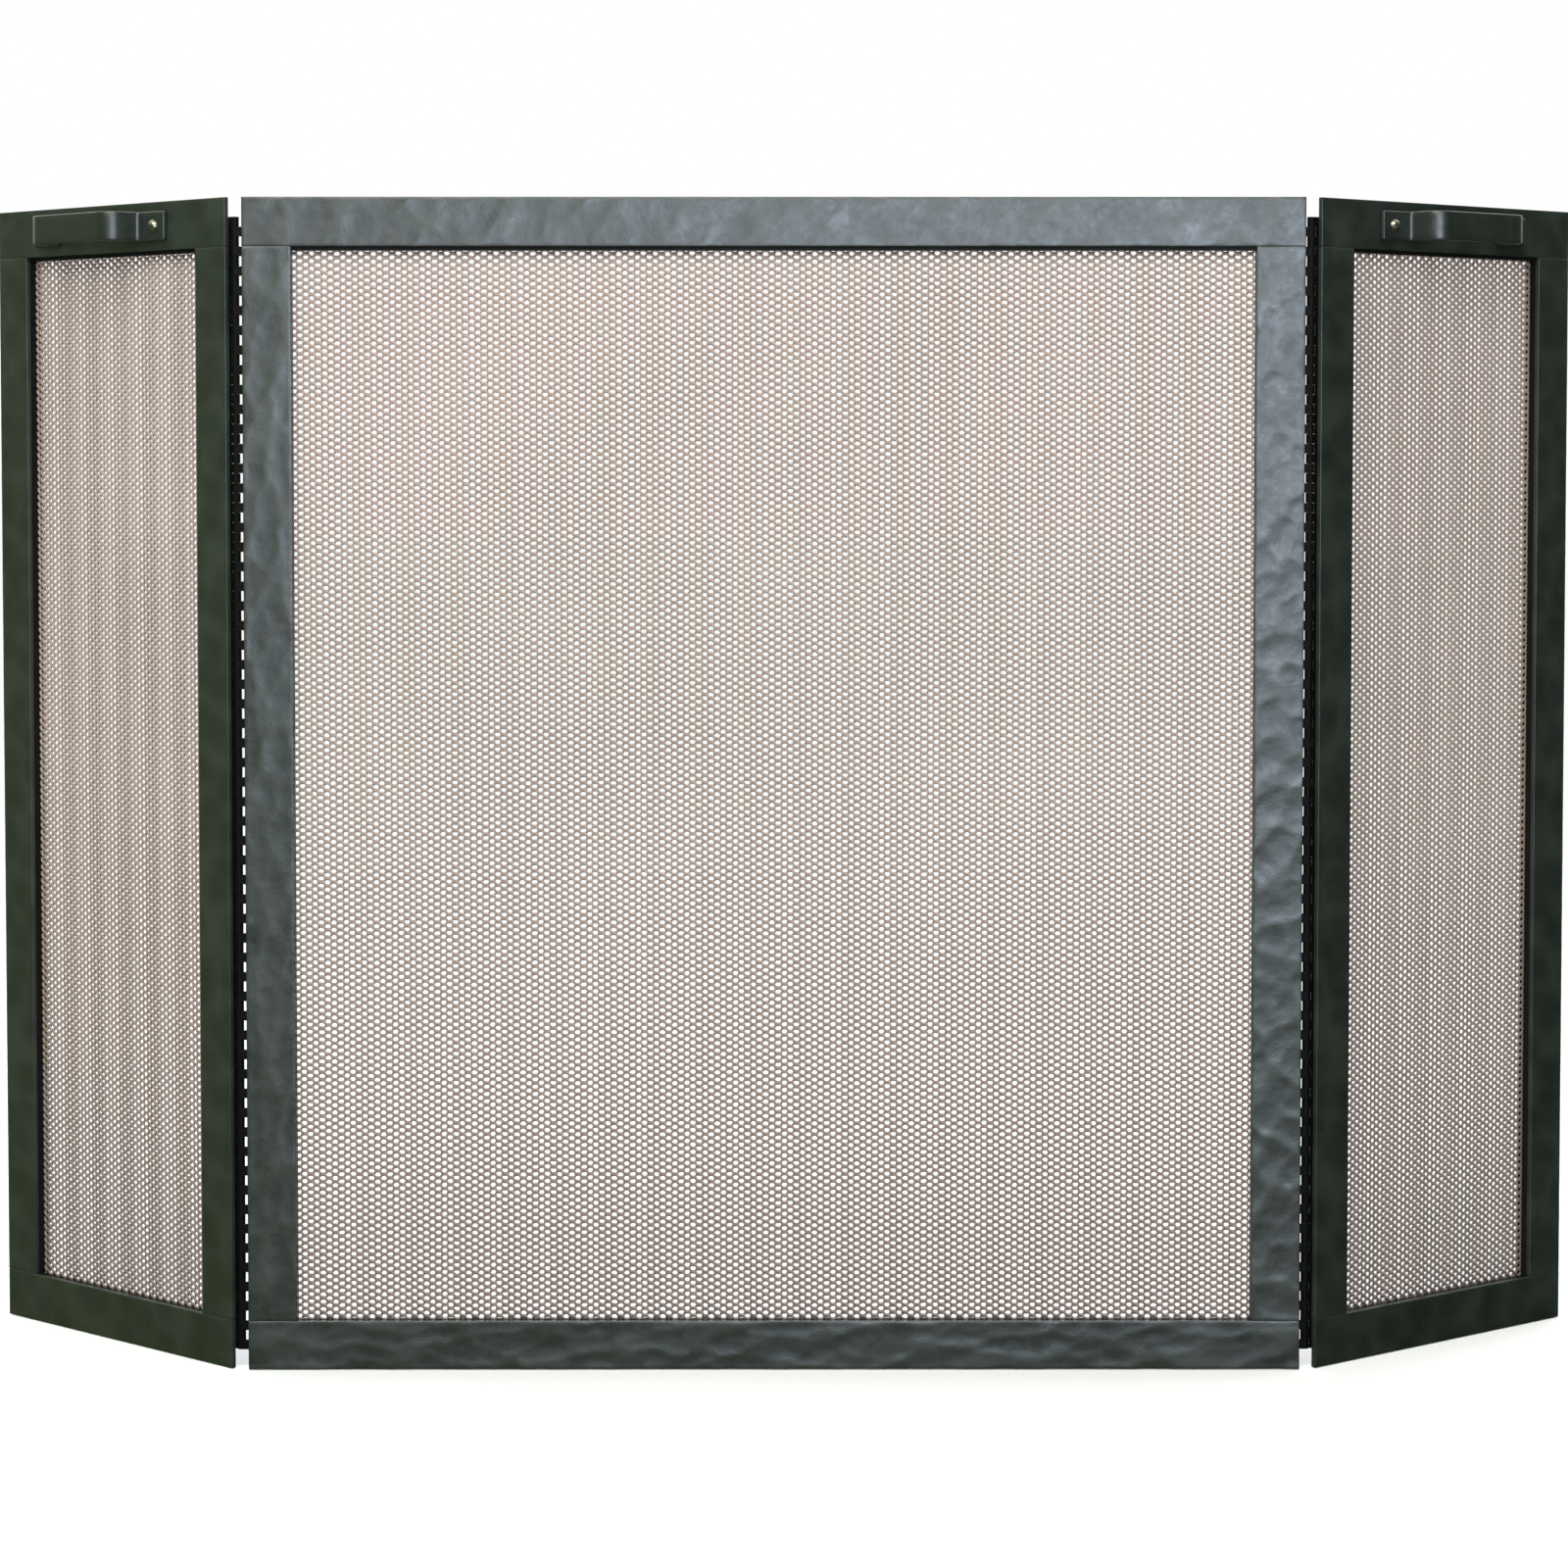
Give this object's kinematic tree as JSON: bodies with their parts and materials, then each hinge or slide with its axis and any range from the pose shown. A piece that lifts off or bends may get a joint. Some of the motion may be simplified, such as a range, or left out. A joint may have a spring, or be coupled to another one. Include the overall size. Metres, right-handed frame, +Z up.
{
  "type": "fireplace screen",
  "caption": "Free-standing folding fireplace screen: a wide centre panel with hinged wings, framed in hammered flat bar and filled with woven wire mesh, with strap handles on the wings.",
  "frame": {"origin": "middle of the underside of the centre panel's bottom rail, where it stands on the hearth, halfway through the bar", "axes": "+X to the right seen from the room, +Y towards the fire, +Z up"},
  "size_m": [1.0757, 0.1878, 0.762],
  "materials": {
    "hammered_steel": "hammered flat bar in satin graphite paint",
    "black_steel": "plain flat bar in satin black paint",
    "hinge_steel": "rolled sheet steel in satin black paint",
    "mesh_wire": "coil-woven bare steel wire, oil-darkened",
    "screw_steel": "turned steel, oxidised"
  },
  "bodies": {
    "centre_panel": {"centre_bottom_backing": "black_steel", "centre_bottom_rail": "hammered_steel", "centre_bottom_retainer": "black_steel", "centre_left_backing": "black_steel", "centre_left_retainer": "black_steel", "centre_left_stile": "hammered_steel", "centre_mesh": "mesh_wire", "centre_retainer_screws": "screw_steel", "centre_right_backing": "black_steel", "centre_right_retainer": "black_steel", "centre_right_stile": "hammered_steel", "centre_top_backing": "black_steel", "centre_top_rail": "hammered_steel", "centre_top_retainer": "black_steel", "left_hinge_centre_leaf": "hinge_steel", "left_hinge_centre_screws": "screw_steel", "left_hinge_pin": "hinge_steel", "right_hinge_centre_leaf": "hinge_steel", "right_hinge_centre_screws": "screw_steel", "right_hinge_pin": "hinge_steel"},
    "left_wing": {"left_handle": "hammered_steel", "left_handle_nuts": "screw_steel", "left_handle_screws": "screw_steel", "left_hinge_wing_leaf": "hinge_steel", "left_hinge_wing_screws": "screw_steel", "left_wing_bottom_backing": "black_steel", "left_wing_bottom_rail": "hammered_steel", "left_wing_bottom_retainer": "black_steel", "left_wing_inner_backing": "black_steel", "left_wing_inner_retainer": "black_steel", "left_wing_inner_stile": "hammered_steel", "left_wing_mesh": "mesh_wire", "left_wing_outer_backing": "black_steel", "left_wing_outer_retainer": "black_steel", "left_wing_outer_stile": "hammered_steel", "left_wing_retainer_screws": "screw_steel", "left_wing_top_backing": "black_steel", "left_wing_top_rail": "hammered_steel", "left_wing_top_retainer": "black_steel"},
    "right_wing": {"right_handle": "hammered_steel", "right_handle_nuts": "screw_steel", "right_handle_screws": "screw_steel", "right_hinge_wing_leaf": "hinge_steel", "right_hinge_wing_screws": "screw_steel", "right_wing_bottom_backing": "black_steel", "right_wing_bottom_rail": "hammered_steel", "right_wing_bottom_retainer": "black_steel", "right_wing_inner_backing": "black_steel", "right_wing_inner_retainer": "black_steel", "right_wing_inner_stile": "hammered_steel", "right_wing_mesh": "mesh_wire", "right_wing_outer_backing": "black_steel", "right_wing_outer_retainer": "black_steel", "right_wing_outer_stile": "hammered_steel", "right_wing_retainer_screws": "screw_steel", "right_wing_top_backing": "black_steel", "right_wing_top_rail": "hammered_steel", "right_wing_top_retainer": "black_steel"}
  },
  "joints": [
    {"name": "left_wing_fold", "type": "hinge", "parent": "centre_panel", "child": "left_wing", "pos_m": [-0.34775, 0.00435, 0], "axis": [0, 0, -1], "range_deg": [-105.6, 102.4]},
    {"name": "right_wing_fold", "type": "hinge", "parent": "centre_panel", "child": "right_wing", "pos_m": [0.34675, 0.00435, 0], "axis": [0, 0, 1], "range_deg": [-101.6, 106.4]}
  ]
}
